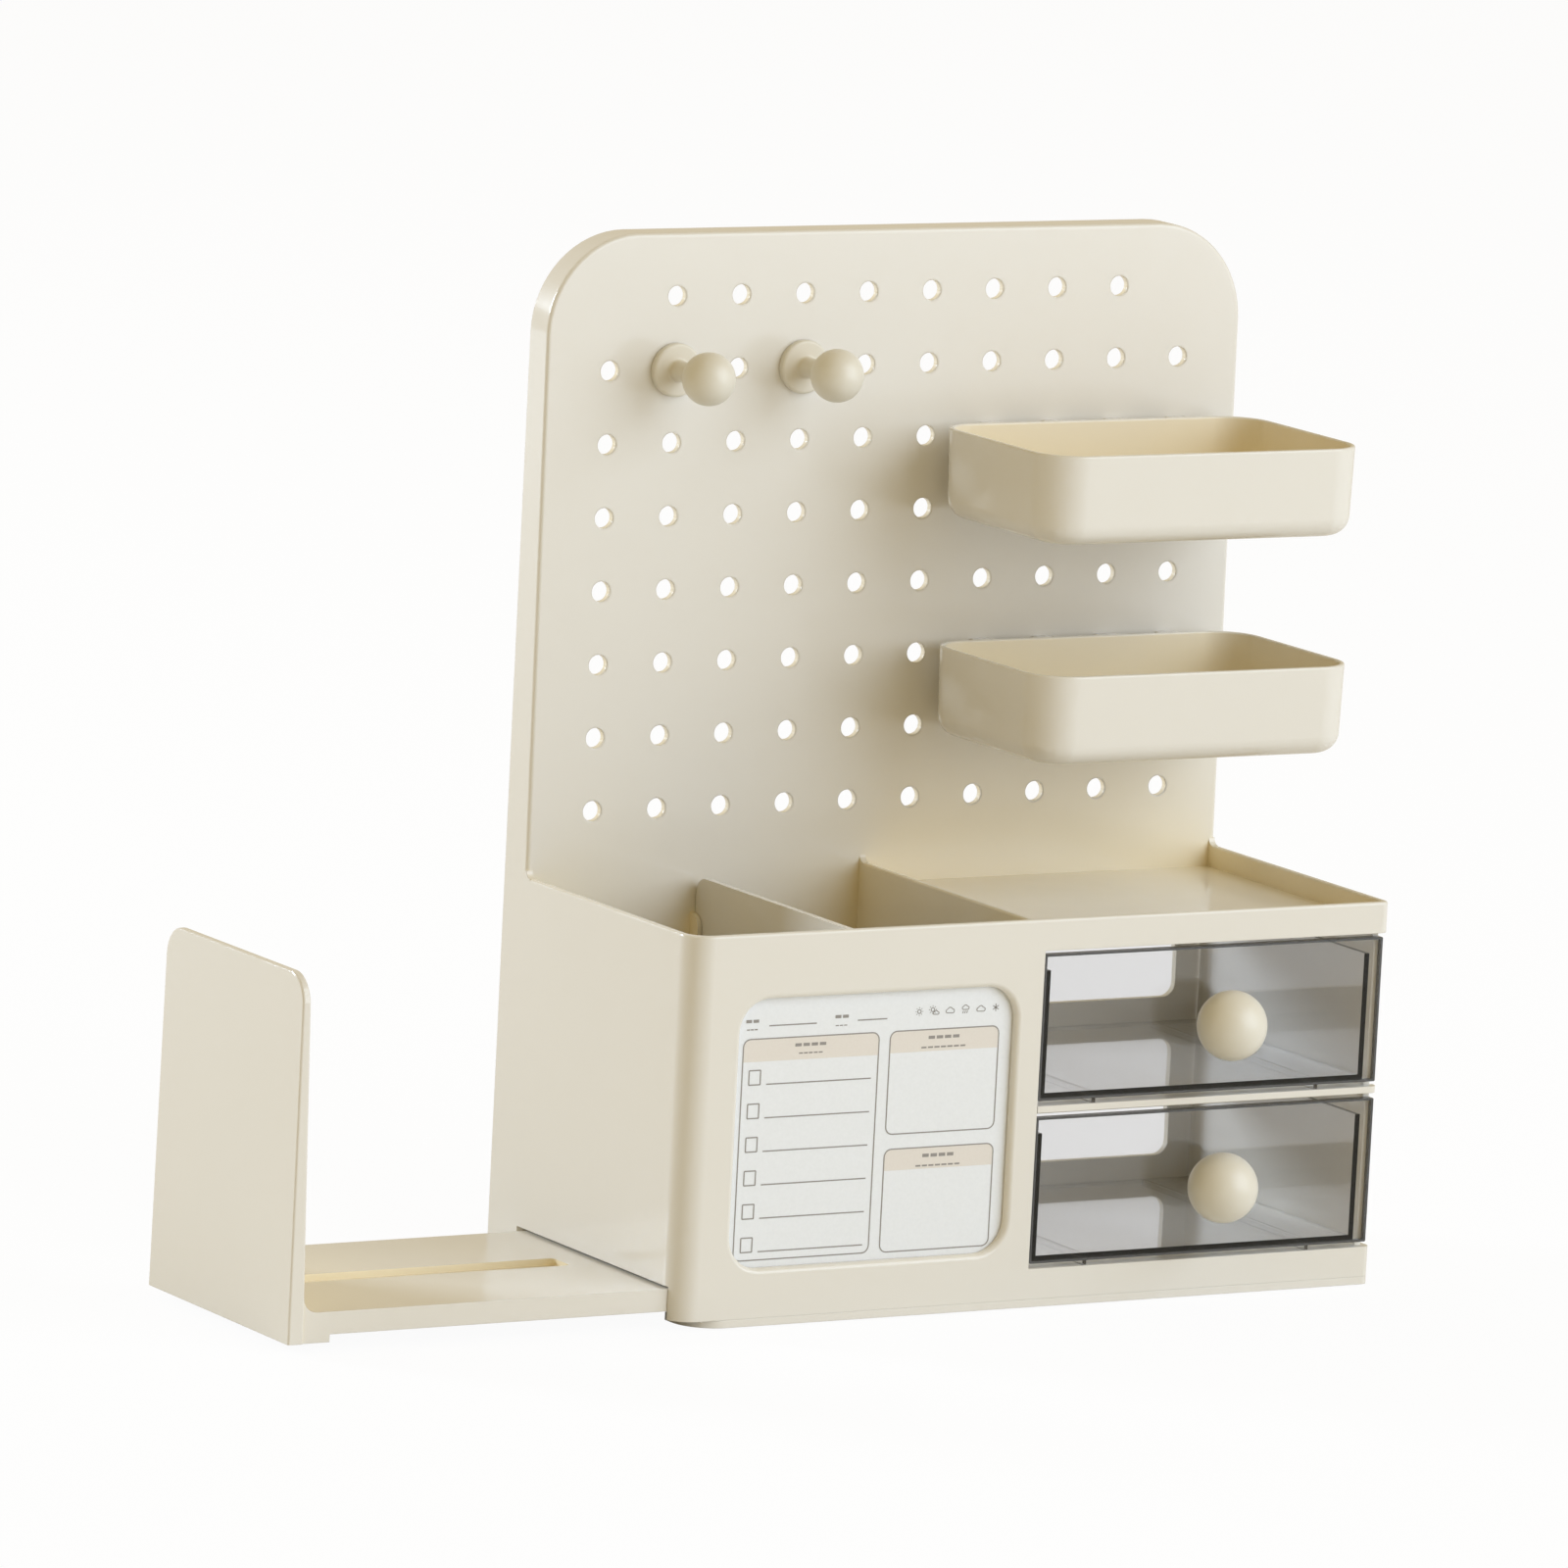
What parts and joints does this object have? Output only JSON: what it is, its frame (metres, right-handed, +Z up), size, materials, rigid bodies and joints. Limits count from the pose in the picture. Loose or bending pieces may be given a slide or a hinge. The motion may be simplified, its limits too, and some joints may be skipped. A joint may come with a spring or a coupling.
{
  "type": "pegboard desk organizer",
  "caption": "Desk organizer with an upright pegboard, open box with divider, memo window, clear drawers, hanging trays, hooks and a pull-out book end.",
  "frame": {"origin": "centre of the body's footprint on the desk, at the face of the middle foot pad", "axes": "+X to the right along the width (the book end pulls out towards -X), +Y to the back, +Z up"},
  "size_m": [0.4174, 0.1539, 0.3518],
  "materials": {
    "cream_plastic": "semi-gloss warm cream moulded plastic",
    "knob_cream": "satin warm cream moulded plastic",
    "smoked_clear": "clear plastic with a light smoke-grey tint, polished",
    "card_white": "white writing card with plain ruled boxes",
    "screw_steel": "zinc-plated steel",
    "pad_rubber": "soft grey pad"
  },
  "bodies": {
    "housing": {"main_housing": "cream_plastic", "bottom_cover": "cream_plastic", "cover_screws": "screw_steel", "foot_pads": "pad_rubber", "drawer_cabinet": "cream_plastic", "middle_shelf": "cream_plastic", "memo_backing": "cream_plastic"},
    "drawer_upper_body": {"drawer_upper": "smoked_clear", "knob_upper": "knob_cream", "knob_screw_upper": "screw_steel"},
    "drawer_lower_body": {"drawer_lower": "smoked_clear", "knob_lower": "knob_cream", "knob_screw_lower": "screw_steel"},
    "bookend_body": {"bookend": "cream_plastic", "bookend_stop": "cream_plastic", "stop_screws": "screw_steel"},
    "divider_body": {"divider_plate": "cream_plastic"},
    "card_body": {"memo_card": "card_white"},
    "hook_left_body": {"hook_left": "knob_cream"},
    "hook_right_body": {"hook_right": "knob_cream"},
    "tray_upper_body": {"tray_upper": "cream_plastic"},
    "tray_lower_body": {"tray_lower": "cream_plastic"}
  },
  "joints": [
    {"name": "drawer_upper_slide", "type": "slide", "parent": "housing", "child": "drawer_upper_body", "axis": [0, -1, 0], "range_m": [0, 0.09]},
    {"name": "drawer_lower_slide", "type": "slide", "parent": "housing", "child": "drawer_lower_body", "axis": [0, -1, 0], "range_m": [0, 0.09]},
    {"name": "bookend_slide", "type": "slide", "parent": "housing", "child": "bookend_body", "axis": [1, 0, 0], "range_m": [0, 0.131]},
    {"name": "divider_lift", "type": "slide", "parent": "housing", "child": "divider_body", "axis": [0, 0, 1], "range_m": [0, 0.118]},
    {"name": "card_lift", "type": "slide", "parent": "housing", "child": "card_body", "axis": [0, 0, 1], "range_m": [0, 0.118]},
    {"name": "hook_left_pull", "type": "slide", "parent": "housing", "child": "hook_left_body", "axis": [0, -1, 0], "range_m": [0, 0.012]},
    {"name": "hook_right_pull", "type": "slide", "parent": "housing", "child": "hook_right_body", "axis": [0, -1, 0], "range_m": [0, 0.012]},
    {"name": "tray_upper_pull", "type": "slide", "parent": "housing", "child": "tray_upper_body", "axis": [0, -1, 0], "range_m": [0, 0.012]},
    {"name": "tray_lower_pull", "type": "slide", "parent": "housing", "child": "tray_lower_body", "axis": [0, -1, 0], "range_m": [0, 0.012]}
  ]
}
